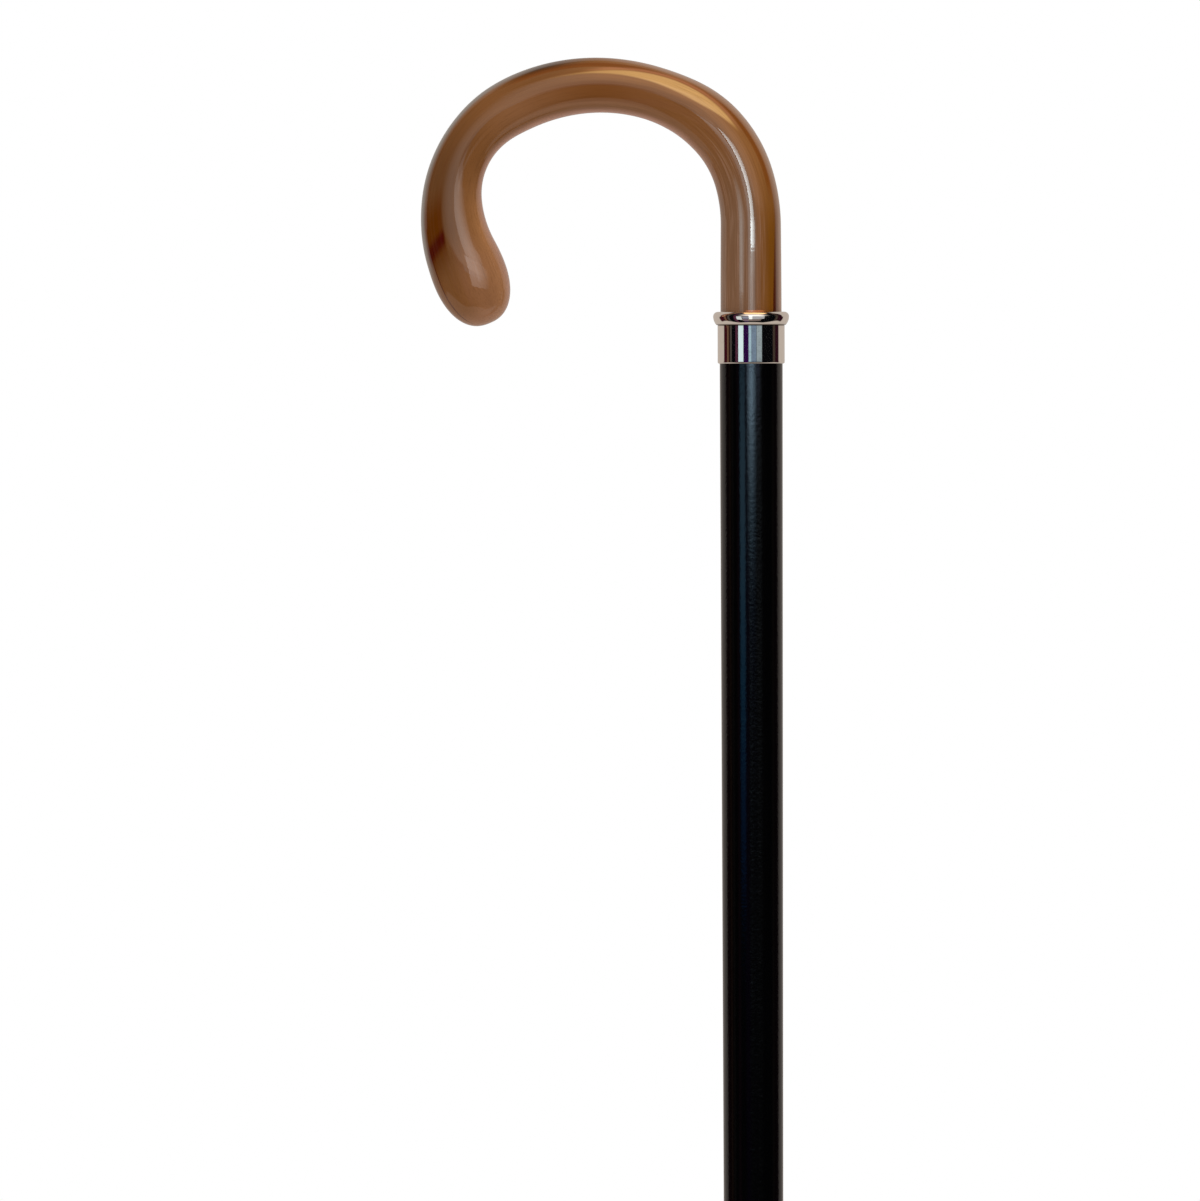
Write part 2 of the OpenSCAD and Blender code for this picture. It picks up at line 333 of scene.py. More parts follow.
def swept_skin(stations, foot, sides=96):
    """A closed skin over stations of distance, point, heading and radius, poled at both ends.
    Each vertex keeps its place on the crook laid out straight, for patterns that follow it, and
    its share of the way out from the centreline to the rims, for patterns that follow those."""
    bm = bmesh.new()
    lay = bm.verts.layers.float_vector.new("laid_straight")
    share = bm.verts.layers.float.new("rim_share")
    loops = []
    for s, point, heading, radius in stations[1:-1]:
        matrix = section(point, heading, radius, foot)
        ring = bmesh.ops.create_circle(bm, segments=sides, radius=1.0, matrix=matrix)["verts"]
        back = matrix.inverted()
        for v in ring:
            unit = back @ v.co
            v[lay] = Vector((unit.x * radius, unit.y * radius, s))
            v[share] = unit.x
        loops.append(set(edge for v in ring for edge in v.link_edges))
    for low, high in zip(loops, loops[1:]):
        bmesh.ops.bridge_loops(bm, edges=list(low | high))
    for loop, station in ((loops[0], stations[0]), (loops[-1], stations[-1])):
        cap = bmesh.ops.contextual_create(bm, geom=list(loop))["faces"]
        pole = bmesh.ops.poke(bm, faces=cap)["verts"][0]
        s, point = station[:2]
        pole.co = (point[0], 0.0, foot + point[1])
        pole[lay] = Vector((0.0, 0.0, s))
    return bm


def finish_piece(bm, name, node, body, material, crease=35):
    """Makes the bmesh a smooth piece that rides on a body and stands for a node."""
    bmesh.ops.recalc_face_normals(bm, faces=bm.faces[:])
    mesh = bpy.data.meshes.new(name)
    bm.to_mesh(mesh)
    bm.free()
    mesh.shade_smooth()
    mesh.set_sharp_from_angle(angle=math.radians(crease))
    piece = bpy.data.objects.new(name, mesh)
    bpy.context.scene.collection.objects.link(piece)
    mesh.materials.append(material)
    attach(piece, body)
    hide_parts(node)
    return piece


class Wire:
    """A value in a recipe, so that shader maths reads as plain sums."""

    def __init__(self, recipe, socket):
        self.recipe = recipe
        self.socket = socket

    def maths(self, operation, *values):
        sockets = dict(enumerate(values))
        node = self.recipe.add("ShaderNodeMath", {"operation": operation}, sockets)
        return Wire(self.recipe, node.outputs[0])

    def __add__(self, other):
        return self.maths("ADD", self, other)

    def __radd__(self, other):
        return self.maths("ADD", other, self)

    def __sub__(self, other):
        return self.maths("SUBTRACT", self, other)

    def __rsub__(self, other):
        return self.maths("SUBTRACT", other, self)

    def __mul__(self, other):
        return self.maths("MULTIPLY", self, other)

    def __rmul__(self, other):
        return self.maths("MULTIPLY", other, self)

    def __truediv__(self, other):
        return self.maths("DIVIDE", self, other)

    def power(self, other):
        return self.maths("POWER", self, other)

    def size(self):
        return self.maths("ABSOLUTE", self)

    def between(self, start, end):
        """0 before start and 1 after end, with an easy slope between them."""
        sockets = {"Value": self, "From Min": start, "From Max": end}
        node = self.recipe.add("ShaderNodeMapRange", {"interpolation_type": "SMOOTHSTEP"}, sockets)
        return Wire(self.recipe, node.outputs[0])

    def band(self, start, end, soft):
        """1 between start and end, with soft edges inside them."""
        return self.between(start, start + soft) * (1 - self.between(end - soft, end))


class Recipe:
    """A node tree that grows one node at a time."""

    def __init__(self, tree):
        self.tree = tree
        self.tree.nodes.clear()

    def add(self, kind, settings=None, sockets=None):
        """A node of that kind: its settings come first, then its sockets' values and links."""
        node = self.tree.nodes.new(kind)
        for name, value in (settings or {}).items():
            setattr(node, name, value)
        for name, value in (sockets or {}).items():
            if isinstance(value, Wire):
                self.tree.links.new(value.socket, node.inputs[name])
            else:
                node.inputs[name].default_value = value
        return node

    def wire(self, kind, output, settings=None, sockets=None):
        """One output of a new node."""
        return Wire(self, self.add(kind, settings, sockets).outputs[output])

    def blend(self, share, first, second):
        """A colour that goes from the first to the second as share goes from 0 to 1."""
        factor, a, b, result = 0, 6, 7, 2
        return self.wire("ShaderNodeMix", result, {"data_type": "RGBA"},
                         {factor: share, a: first, b: second})

    def noise(self, place, scale, detail=2.0, rough=0.5):
        """Soft random values from 0 to 1."""
        return self.wire("ShaderNodeTexNoise", "Fac", None,
                         {"Vector": place, "Scale": scale, "Detail": detail, "Roughness": rough})

    def stretched(self, place, factors):
        """A place scaled apart on each axis, so that a pattern on it runs lengthways."""
        return self.wire("ShaderNodeMapping", 0, {"vector_type": "POINT"},
                         {"Vector": place, "Scale": factors})

    def bump(self, height, depth, strength=1.0):
        """A normal from a height pattern, whose full height is depth metres."""
        return self.wire("ShaderNodeBump", 0, None,
                         {"Height": height, "Distance": depth, "Strength": strength})

    def surface(self, sockets):
        """The one shader of a finish."""
        shader = self.add("ShaderNodeBsdfPrincipled", None, sockets)
        output = self.add("ShaderNodeOutputMaterial")
        self.tree.links.new(shader.outputs[0], output.inputs[0])


def new_finish(name):
    """A material and the recipe of its nodes."""
    material = bpy.data.materials.new(name)
    material.use_nodes = True
    return material, Recipe(material.node_tree)


def rgba(value):
    return (*value, 1.0)


def horn_resin(colours):
    """Polished horn-effect resin. Its zones follow the crook: s is the distance along it in
    millimetres, and rim goes from -1 at the inner rim over 0 in the middle to 1 at the outer."""
    material, r = new_finish("horn_resin")
    place = r.wire("ShaderNodeAttribute", "Vector", {"attribute_name": "laid_straight"})
    parts = r.add("ShaderNodeSeparateXYZ", None, {0: place})
    deep, s = (Wire(r, parts.outputs[i]) * 1000.0 for i in (1, 2))
    share = r.wire("ShaderNodeAttribute", "Fac", {"attribute_name": "rim_share"})
    front = 1 - deep.between(-5.0, 2.0)

    drift = r.noise(r.stretched(place, (60, 60, 22)), 1.0, 3.0)
    streak = r.noise(r.stretched(place, (900, 900, 32)), 1.0, 4.0, 0.62)
    fibre = r.noise(r.stretched(place, (2600, 2600, 60)), 1.0, 2.0, 0.5)
    cloud = r.noise(r.stretched(place, (190, 190, 60)), 1.0, 3.0, 0.55)
    rim = share + (drift - 0.5) * 0.08 + (streak - 0.5) * 0.05

    def over(skin, share, tint):
        return r.blend(share, skin, rgba(getattr(colours, "horn_" + tint)))

    # Painted reflection: the limb's inner half is dulled, in place of a wide dim reflection on it.
    limb = (1 - s.between(25.0, 66.0)) * (1 - rim.between(0.10, 0.24))
    skin = over(rgba(colours.horn), limb, "grey")
    skin = over(skin, s.band(71.0, 150.0, 25.0) * rim.band(-0.8, 0.13, 0.22), "core")
    skin = over(skin, rim.between(0.34, 0.66) * (1 - s.between(51.0, 74.0)), "amber")
    skin = over(skin, s.band(22.0, 120.0, 28.0) * rim.band(0.06, 1.05, 0.25), "gold")
    skin = over(skin, s.between(148.0, 180.0) * (1 - rim.between(-1.02, -0.22)), "swell")
    skin = over(skin, s.band(131.0, 205.0, 31.0) * rim.between(-0.43, 0.08), "olive")
    skin = over(skin, s.band(67.0, 135.0, 34.0) * rim.band(-0.66, 0.21, 0.15) * 0.64, "shade")
    skin = over(skin, s.band(33.0, 130.0, 8.0) * rim.band(0.62, 0.84, 0.065) * 0.7, "russet")
    skin = over(skin, s.between(175.0, 194.0) * (1 - rim.between(-0.12, 0.55)) * 0.35, "blush")
    skin = over(skin, s.between(201.0, 211.0), "blush")
    skin = over(skin, (1 - s.between(0.0, 54.0)) * (rim - s * 0.0022).band(0.70, 0.93, 0.045), "deep")
    # Painted reflection along the near shoulder's outer rim.
    skin = over(skin, (1 - s.between(85.0, 105.0)) * rim.between(0.74, 1.03), "pale")
    # Painted reflection: the outer rim on top of the crown is darkened.
    skin = over(skin, s.band(100.0, 135.0, 23.0) * rim.between(0.66, 0.90), "soot")
    # Painted reflection along the outer rim over the crown and the far side.
    mist = s.between(96.0, 140.0) * (1 - s.between(176.0, 194.0))
    skin = over(skin, mist * rim.between(0.80, 0.98), "mist")
    # Painted light: a glow painted on the resin just above the ring.
    skin = over(skin, (1 - s.between(0.1, 0.6)) * rim.band(-0.25, 0.5, 0.2), "glow")
    # Painted reflection along the inner rim.
    pink = (1 - rim.between(-1.02, -0.76)) * s.between(29.0, 76.0)
    skin = over(skin, pink, "pink")
    skin = over(skin, rim.band(0.785, 0.835, 0.03) * s.between(167.0, 175.0), "deep")

    slant = s - share * 8.0
    reach = rim.band(0.27, 0.925, 0.095) * front
    skin = over(skin, slant.between(158.0, 169.0) * (1 - slant.between(175.0, 186.0)) * reach, "bark")
    skin = over(skin, slant.band(172.0, 179.0, 3.0) * reach, "burnt")

    # Painted light: a bright streak over the crown, with a soft edge round it, painted on the front,
    # stands in for light shining through the translucent resin.
    top = 0.53 + s.between(49.0, 81.0) * 0.16 - s.between(77.0, 111.0) * 0.24
    foot = 0.525 - s.between(53.0, 73.0) * 0.23 + s.between(65.0, 98.0) * 0.115
    painted_through_light_streak = (share - foot).between(-0.045, 0.045) * (top - share).between(-0.04, 0.04)
    painted_through_light_streak = painted_through_light_streak * s.between(54.5, 61.5) * (1 - s.between(91.0, 123.0)) * front
    painted_through_light_fringe = (share - top).band(-0.03, 0.16, 0.095) * s.band(53.0, 108.0, 10.0) * front
    skin = over(skin, painted_through_light_fringe * 0.5, "rust")
    grain = r.noise(r.stretched(place, (3200, 3200, 40)), 1.0, 2.0, 0.5)
    painted_through_light_skin = over(rgba(colours.horn_caramel), grain.between(0.35, 0.7) * 0.12, "gold")
    skin = r.blend(painted_through_light_streak, skin, painted_through_light_skin)
    skin = over(skin, cloud.between(0.35, 0.65) * 0.08, "fibre")
    skin = over(skin, fibre.between(0.45, 0.8) * 0.25, "fibre")
    # Painted highlights: pale fibres in the limb, where the highlights fall.
    fibre_painted_highlight = (1 - fibre).between(0.5, 0.8) * (1 - s.between(50.0, 80.0))
    skin = over(skin, fibre_painted_highlight * (1 - rim.between(0.35, 0.6)) * 0.35, "pale")

    polish = 0.045 + streak.between(0.3, 0.8) * 0.03
    wobble = r.noise(r.stretched(place, (240, 240, 90)), 1.0, 1.0, 0.4)
    ripple = r.noise(r.stretched(place, (500, 500, 1500)), 1.0, 2.0, 0.6)
    height = wobble * 0.85 + streak * 0.15 + ripple * (1 - s.between(40.0, 60.0)) * 0.35
    r.surface({"Base Color": skin, "Roughness": polish, "IOR": 1.5,
               "Normal": r.bump(height, 0.00004, 0.6)})
    return material


def nickel_plate(colours, seam):
    """Mirror-bright warm nickel plate with faint polishing lines and a slight wobble. Painted shade
    darkens it in the crease between the ring and the sleeve, at the seam's height."""
    material, r = new_finish("nickel_plate")
    place = r.wire("ShaderNodeTexCoord", "Object")
    parts = r.add("ShaderNodeSeparateXYZ", None, {0: place})
    wobble = r.noise(place, 260.0, 1.0, 0.3)
    lines = r.noise(r.stretched(place, (500, 500, 9000)), 1.0, 2.0, 0.6)
    haze = r.noise(place, 700.0, 3.0, 0.6)
    tint = r.blend(haze.between(0.4, 0.75) * 0.5, rgba(colours.plate), (0.84, 0.79, 0.72, 1.0))
    # Painted shade: the plate is darkened in the crease between the ring and the sleeve.
    crease = 1 - (Wire(r, parts.outputs[2]) - seam).size().between(0.00012, 0.00042)
    tint = r.blend(crease * 0.85, tint, (0.10, 0.075, 0.06, 1.0))
    r.surface({"Base Color": tint, "Metallic": 1.0,
               "Roughness": 0.035 + haze.between(0.45, 0.8) * 0.05 + lines * 0.02,
               "Normal": r.bump(wobble * 0.8 + lines * 0.2, 0.00001, 0.5)})
    return material


def black_lacquer(colours):
    """Black satin lacquer over fine straight-grained hardwood."""
    material, r = new_finish("black_lacquered_wood")
    place = r.wire("ShaderNodeTexCoord", "Object")
    grain = r.noise(r.stretched(place, (1400, 1400, 26)), 1.0, 4.0, 0.6)
    pores = r.noise(r.stretched(place, (3600, 3600, 120)), 1.0, 2.0, 0.5).between(0.58, 0.72)
    haze = r.noise(place, 90.0, 3.0, 0.5)
    peel = r.noise(place, 900.0, 2.0, 0.6)
    tint = r.blend(grain.between(0.4, 0.8), rgba(colours.lacquer), (0.0005, 0.0005, 0.0006, 1.0))
    r.surface({"Base Color": tint, "Roughness": 0.12 + haze * 0.04 + pores * 0.04, "IOR": 1.5,
               "Specular IOR Level": 0.3,
               "Normal": r.bump(grain * 0.05 - pores * 0.03 + peel, 0.00008, 0.5)})
    return material


def black_rubber(colours):
    """Moulded black rubber, matt, with a dusty bloom."""
    material, r = new_finish("black_rubber")
    place = r.wire("ShaderNodeTexCoord", "Object")
    speck = r.noise(place, 2400.0, 3.0, 0.6)
    bloom = r.noise(place, 160.0, 4.0, 0.6)
    tint = r.blend(bloom.between(0.45, 0.8) * 0.5, rgba(colours.rubber), (0.05, 0.049, 0.047, 1.0))
    r.surface({"Base Color": tint, "Roughness": 0.62 + bloom * 0.2, "IOR": 1.5,
               "Normal": r.bump(speck, 0.00004, 0.7)})
    return material


def plain_steel(colours):
    """Plain bright steel with a fine rolled grain."""
    material, r = new_finish("plain_steel")
    place = r.wire("ShaderNodeTexCoord", "Object")
    rolled = r.noise(r.stretched(place, (300, 4000, 900)), 1.0, 3.0, 0.6)
    stain = r.noise(place, 220.0, 3.0, 0.6)
    tint = r.blend(stain.between(0.45, 0.8) * 0.6, rgba(colours.steel), (0.42, 0.42, 0.43, 1.0))
    r.surface({"Base Color": tint, "Metallic": 1.0, "Roughness": 0.24 + rolled * 0.14,
               "Normal": r.bump(rolled, 0.000015, 0.6)})
    return material


class CANE_OT_crook(bpy.types.Operator):
    """Sweep the crook over the hand, from its spigot to its swollen nose"""

    bl_idname = "cane.crook"
    bl_label = "Crook handle"

    def execute(self, context):
        settings = context.scene.cane
        heights = Heights(settings)
        path, foot = heights.path, heights.limb_foot
        depth = foot - heights.spigot_joint
        hole, tip = settings.shaft.crook_hole, heights.drill_tip
        spigot_r = settings.collar.spigot_d / 2
        chamfer = settings.shaft.chamfer
        bored = [(hole + tip, 0.0), (hole, heights.hole_r), (0.0, heights.hole_r),
                 (0.0, spigot_r - chamfer), (chamfer, spigot_r), (depth, spigot_r)]
        up = math.pi / 2
        stations = [(z - depth, (0.0, z - depth), up, radius) for z, radius in bored]
        body_rings, nose_rings = 130, 26
        marks = [path.swept * i / body_rings for i in range(body_rings + 1)]
        marks += [path.swept + path.sizes.nose_len * math.sin(math.pi / 2 * i / (nose_rings + 1))
                  for i in range(1, nose_rings + 1)]
        for s in marks:
            x, z, heading = path.at(s)
            stations.append((s, (x, z), heading, path.radius(s)))
        x, z, heading = path.at(path.total)
        stations.append((path.total, (x, z), heading, 0.0))
        bm = swept_skin(stations, foot)
        finish_piece(bm, "crook", "crook_handle", "cane",
                     horn_resin(settings.colours))
        return {"FINISHED"}


class CANE_OT_collar(bpy.types.Operator):
    """Turn the plated ring and the sleeve under it"""

    bl_idname = "cane.collar"
    bl_label = "Collar"

    def execute(self, context):
        settings = context.scene.cane
        heights = Heights(settings)
        collar = settings.collar
        plate = nickel_plate(settings.colours, heights.ring_foot)
        bore, r, foot = collar.bore_d / 2, collar.ring_d / 2, heights.ring_foot
        waist = foot + collar.ring_h - collar.ring_crown_r
        drop = math.degrees(math.asin((waist - foot) / collar.ring_flank_r))
        outline = [(bore, foot)]
        outline += arc(r - collar.ring_flank_r, waist, collar.ring_flank_r, -drop, 0, 16)
        outline += arc(r - collar.ring_crown_r, waist, collar.ring_crown_r, 0, 90, 24)[1:]
        outline.append((bore, foot + collar.ring_h))
        finish_piece(turned(outline, 192, closed=True), "collar_bead", "collar_ring", "cane",
                     plate)

        r, foot, lip = collar.sleeve_d / 2, heights.sleeve_foot, collar.lip_r
        outline = [(bore, foot)]
        outline += arc(r - lip, foot + lip, lip, -90, -15, 12)
        outline += [(r, foot + lip), (r, heights.ring_foot), (bore, heights.ring_foot)]
        finish_piece(turned(outline, 192, closed=True), "collar_tube", "collar_sleeve", "cane",
                     plate, crease=7)
        return {"FINISHED"}


class CANE_OT_shaft(bpy.types.Operator):
    """Turn the tapered shaft and its spigot, bored for the stud"""

    bl_idname = "cane.shaft"
    bl_label = "Shaft"

    def execute(self, context):
        settings = context.scene.cane
        heights = Heights(settings)
        sizes = settings.shaft
        tip, top = sizes.tip_d / 2, settings.collar.spigot_d / 2
        joint = heights.spigot_joint
        outline = [(0.0, heights.washer_top), (tip - sizes.chamfer, heights.washer_top),
                   (tip, heights.washer_top + sizes.chamfer), (tip, heights.seat_top),
                   (sizes.shaft_d / 2, heights.sleeve_foot), (top, heights.sleeve_foot),
                   (top, joint), (heights.hole_r, joint), (heights.hole_r, joint - sizes.shaft_hole),
                   (0.0, joint - sizes.shaft_hole - heights.drill_tip)]
        finish_piece(turned(outline), "tapered_shaft", "shaft", "cane",
                     black_lacquer(settings.colours), crease=20)
        return {"FINISHED"}


class CANE_OT_stud(bpy.types.Operator):
    """Cut the threaded stud that joins the crook to the shaft"""

    bl_idname = "cane.stud"
    bl_label = "Joining stud"

    def execute(self, context):
        settings = context.scene.cane
        heights = Heights(settings)
        sizes = settings.shaft
        r = sizes.stud_d / 2
        root = r - sizes.thread_depth
        foot = heights.spigot_joint - sizes.shaft_hole + sizes.stud_end_gap
        top = heights.spigot_joint + sizes.crook_hole - sizes.stud_end_gap
        crest, flank = sizes.pitch / 8, sizes.pitch * 3 / 8
        turns = math.ceil((top - foot) / sizes.pitch) + 2
        start = foot - sizes.pitch
        tooth = [(root, 0.0), (r, flank), (r, flank + crest), (root, 2 * flank + crest),
                 (root, sizes.pitch)]
        sides = 32
        bm = bmesh.new()
        verts = [bm.verts.new((x, 0.0, start + z)) for x, z in tooth]
        edges = [bm.edges.new(pair) for pair in zip(verts, verts[1:])]
        bmesh.ops.spin(bm, geom=verts + edges, cent=(0, 0, 0), axis=(0, 0, 1),
                       dvec=(0, 0, sizes.pitch / sides), angle=FULL_TURN * turns,
                       steps=sides * turns, use_merge=False)
        bmesh.ops.remove_doubles(bm, verts=bm.verts[:], dist=sizes.pitch / 100)
        for height, up in ((foot, -1), (top, 1)):
            bmesh.ops.bisect_plane(bm, geom=bm.verts[:] + bm.edges[:] + bm.faces[:],
                                   plane_co=(0, 0, height), plane_no=(0, 0, up),
                                   clear_outer=True)
            rim = [e for e in bm.edges if e.is_boundary
                   and all(abs(v.co.z - height) < 1e-6 for v in e.verts)]
            bmesh.ops.contextual_create(bm, geom=rim)
        lead = 2 * sizes.chamfer
        for v in bm.verts:
            room = root - sizes.chamfer + min(v.co.z - foot, top - v.co.z)
            reach = v.co.xy.length
            if reach > max(room, 0.0) and min(v.co.z - foot, top - v.co.z) < lead:
                v.co.xy = v.co.xy * (room / reach)
        finish_piece(bm, "threaded_stud", "joining_stud", "cane",
                     plain_steel(settings.colours))
        return {"FINISHED"}


class CANE_OT_ferrule(bpy.types.Operator):
    """Mould the rubber ferrule, with its ribs, flare and tread, and the washer in it"""

    bl_idname = "cane.ferrule"
    bl_label = "Ferrule"

    def execute(self, context):
        settings = context.scene.cane
        sizes = settings.ferrule
        neck, edge = sizes.neck_d / 2, sizes.edge_r
        flange = sizes.foot_d / 2 - edge
        bore = settings.shaft.tip_d / 2 + sizes.push_gap
        washer_r = bore + sizes.washer_grip
        washer_top = sizes.sole_t + sizes.washer_t
        outline = [(0.0, 0.0)]
        for i in range(sizes.grooves):
            inner = sizes.tread_disc_r + i * (sizes.groove_w + sizes.land_w)
            outer = inner + sizes.groove_w
            outline += [(inner, 0.0), (inner, sizes.tread_t), (outer, sizes.tread_t), (outer, 0.0)]
        outline += arc(flange, edge, edge, -90, 0, 8)
        outline += arc(flange, sizes.foot_h - edge, edge, 0, 90, 8)
        width = flange - neck
        rise = math.sqrt(width * (2 * sizes.flare_r - width))
        low = 180 + math.degrees(math.asin(rise / sizes.flare_r))
        outline += arc(neck + sizes.flare_r, sizes.foot_h + rise, sizes.flare_r, low, 180, 18)[1:]
        sink = sizes.rib_r - sizes.rib_stand
        reach = math.degrees(math.acos(sink / sizes.rib_r))
        for i in reversed(range(sizes.ribs)):
            height = sizes.ferrule_h - sizes.mouth_to_rib - sizes.rib_pitch * i
            outline += arc(neck - sink, height, sizes.rib_r, -reach, reach, 12)
        outline += arc(neck - edge, sizes.ferrule_h - edge, edge, 0, 90, 8)
        outline += [(bore + sizes.mouth_lead, sizes.ferrule_h),
                    (bore, sizes.ferrule_h - sizes.mouth_lead), (bore, washer_top),
                    (washer_r, washer_top), (washer_r, sizes.sole_t), (0.0, sizes.sole_t)]
        finish_piece(turned(outline), "rubber_ferrule", "ferrule", "foot",
                     black_rubber(settings.colours))

        bevel = sizes.washer_t / 8
        outline = [(0.0, sizes.sole_t), (washer_r - bevel, sizes.sole_t),
                   (washer_r, sizes.sole_t + bevel), (washer_r, washer_top - bevel),
                   (washer_r - bevel, washer_top), (0.0, washer_top)]
        finish_piece(turned(outline), "steel_washer", "ferrule_washer", "foot",
                     plain_steel(settings.colours))
        return {"FINISHED"}


COOL = (0.73, 0.93, 1.0)
ICY = (0.85, 0.97, 1.0)
WHITE = (0.94, 0.98, 1.0)
WARM = (1.0, 0.96, 0.93)
EMBER = (1.0, 0.55, 0.24)
DIM_RED = (1.0, 0.78, 0.72)

# The soft lights seen in one piece's gloss: name, sides, heights, distance in front of the
# cane's middle, level, colour, and for some the angle of the grid and the way they face.
CROOK_LIGHTS = (
    ("window", (-0.137, -0.057), (0.841, 0.905), 0.15, 4.0, ICY, 27, (38, -3)),
    ("window_foot", (-0.137, -0.057), (0.8315, 0.841), 0.15, 1.3, ICY, 27, (38, -3)),
    ("beside", (-0.034, -0.007), (0.8315, 0.898), 0.15, 1.9, WHITE, 63),
    ("lamp_top", (-0.002, 0.017), (0.865, 0.902), 0.092, 15.0, ICY, 40),
    ("lamp", (-0.003, 0.026), (0.8555, 0.865), 0.092, 24.0, ICY, 33),
    ("lamp_neck", (-0.004, 0.026), (0.847, 0.8555), 0.092, 5.0, ICY, 33),
    ("lamp_foot", (-0.005, 0.027), (0.8315, 0.847), 0.092, 3.4, ICY, 33),
    ("nose_top", (-0.082, -0.004), (0.878, 0.904), 0.093, 2.65, WARM, 68, (-18, -28)),
    ("nose_foot", (-0.089, -0.038), (0.8315, 0.859), 0.04, 2.6, WARM, 100, (-6, -15)),
)
RING_LIGHTS = (
    ("glow", (-0.0065, 0.0135), (0.8440, 0.8555), 0.0150, 1.9, EMBER, 180, (0, -90)),
    ("ring_left", (-0.375, -0.202), (0.592, 0.835), 0.35, 0.80, (0.90, 0.97, 1.0)),
    ("ring_dim", (-0.186, -0.055), (0.690, 0.815), 0.35, 0.32, (0.80, 0.90, 1.0)),
    ("ring_core", (-0.049, 0.018), (0.660, 0.960), 0.35, 1.10, WHITE),
    ("ring_right", (0.018, 0.300), (0.660, 0.960), 0.35, 0.45, (0.93, 0.93, 1.0)),
    ("ring_low", (-0.200, 0.220), (0.500, 0.660), 0.35, 0.20, DIM_RED),
)
SHAFT_LIGHTS = (
    ("side_1", (-0.338, -0.160), (0.750, 0.822), 0.35, 1.5, (0.34, 0.70, 1.0)),
    ("side_2", (-0.338, -0.160), (0.715, 0.750), 0.35, 1.3, (0.20, 0.60, 1.0)),
    ("side_3", (-0.338, -0.160), (0.680, 0.715), 0.35, 1.0, (0.10, 0.50, 1.0)),
    ("side_4", (-0.338, -0.160), (0.630, 0.680), 0.35, 0.5, (0.04, 0.30, 1.0)),
    ("shoulder", (0.105, 0.200), (0.809, 0.822), 0.35, 1.8, (0.5, 0.6, 1.0)),
)

# The strips of the shaft's middle streak, which fades and turns blue down the shaft: foot, top,
# level and colour. The grid makes the streak brightest at its core.
STREAK_SIDES = (-0.110, 0.105)
STREAK_SPREAD = 40.0
STREAK_FACES = (1.0, 0.0)
STREAK_STRIPS = (
    (0.809, 0.822, 15.0, (0.52, 0.77, 1.0)),
    (0.797, 0.809, 7.0, (0.55, 0.81, 1.0)),
    (0.778, 0.797, 3.5, (0.50, 0.76, 1.0)),
    (0.754, 0.778, 1.5, (0.39, 0.74, 1.0)),
    (0.730, 0.754, 0.16, (0.17, 0.41, 1.0)),
    (0.698, 0.730, 0.05, (0.02, 0.05, 1.0)),
)

# The strips of the studio round the cane: the bearings they reach from and to, and colour.
STUDIO_STRIPS = (
    (-119.0, -92.5, (0.040, 0.004, 0.008)),
    (-93.0, -84.5, (0.150, 0.080, 0.050)),
    (-85.0, -79.0, (0.030, 0.009, 0.006)),
    (-79.5, -71.0, (0.070, 0.062, 0.054)),
    (-57.5, -46.5, (0.075, 0.022, 0.045)),
    (-27.5, -9.0, (0.021, 0.002, 0.050)),
    (79.0, 91.0, (0.050, 0.035, 0.027)),
    (90.0, 119.0, (0.022, 0.004, 0.009)),
)
LEVEL_STRIPS = (
    (-10.5, 0.8, (0.41, 0.60, 0.72)),
    (-1.0, 18.0, (0.19, 0.265, 0.375)),
    (17.0, 37.5, (0.34, 0.42, 0.47)),
)


def aim(thing, eye, target):
    """Stands a light or the camera at the eye and points it at the target."""
    thing.location = eye
    thing.rotation_euler = (Vector(target) - Vector(eye)).to_track_quat("-Z", "Y").to_euler()
    bpy.context.scene.collection.objects.link(thing)


def soft_box(piece, name, sides, heights, away, level, tint, spread=180.0, faces=(0.0, 0.0)):
    """A soft light in front of the cane, screened so that it shows in one piece's gloss alone.
    Its sides and heights are given in the cane's frame, level is the brightness of its face,
    where 1 is white, and spread is the angle of its grid. It faces along Y, or that many degrees
    to the right of Y and above it."""
    light = bpy.data.lights.new(name, "AREA")
    light.shape = "RECTANGLE"
    light.size, light.size_y = sides[1] - sides[0], heights[1] - heights[0]
    light.color = tint
    light.spread = math.radians(spread)
    half = light.spread / 2
    kept = 1.0 if spread >= 180.0 else 1 - half / math.tan(half)
    light.energy = level * math.pi * light.size * light.size_y * kept
    box = bpy.data.objects.new(name, light)
    box.visible_camera = box.visible_diffuse = False
    screen = bpy.data.collections.get(piece + "_lights")
    if screen is None:
        screen = bpy.data.collections.new(piece + "_lights")
        screen.objects.link(bpy.data.objects[piece])
    box.light_linking.receiver_collection = screen
    eye = Vector((sum(sides) / 2, -away, sum(heights) / 2))
    turn, tilt = (math.radians(a) for a in faces)
    ahead = Vector((math.sin(turn) * math.cos(tilt), math.cos(turn) * math.cos(tilt),
                    math.sin(tilt)))
    aim(box, eye, eye + ahead)
    return box


def key_light():
    """A large plain light from the front, up to the left, which shows in no gloss."""
    light = bpy.data.lights.new("key", "AREA")
    light.size = 0.8
    distance, bearing, lift = 1.6, math.radians(-20), math.radians(35)
    light.energy = 0.25 * math.pi * math.pi * distance ** 2
    key = bpy.data.objects.new("key", light)
    key.visible_camera = key.visible_glossy = False
    middle = (CAD_BOX[0] + CAD_BOX[1]) / 2
    middle.z = CANE_TOP
    way = Vector((math.sin(bearing) * math.cos(lift), -math.cos(bearing) * math.cos(lift),
                  math.sin(lift)))
    aim(key, middle + way * distance, middle)


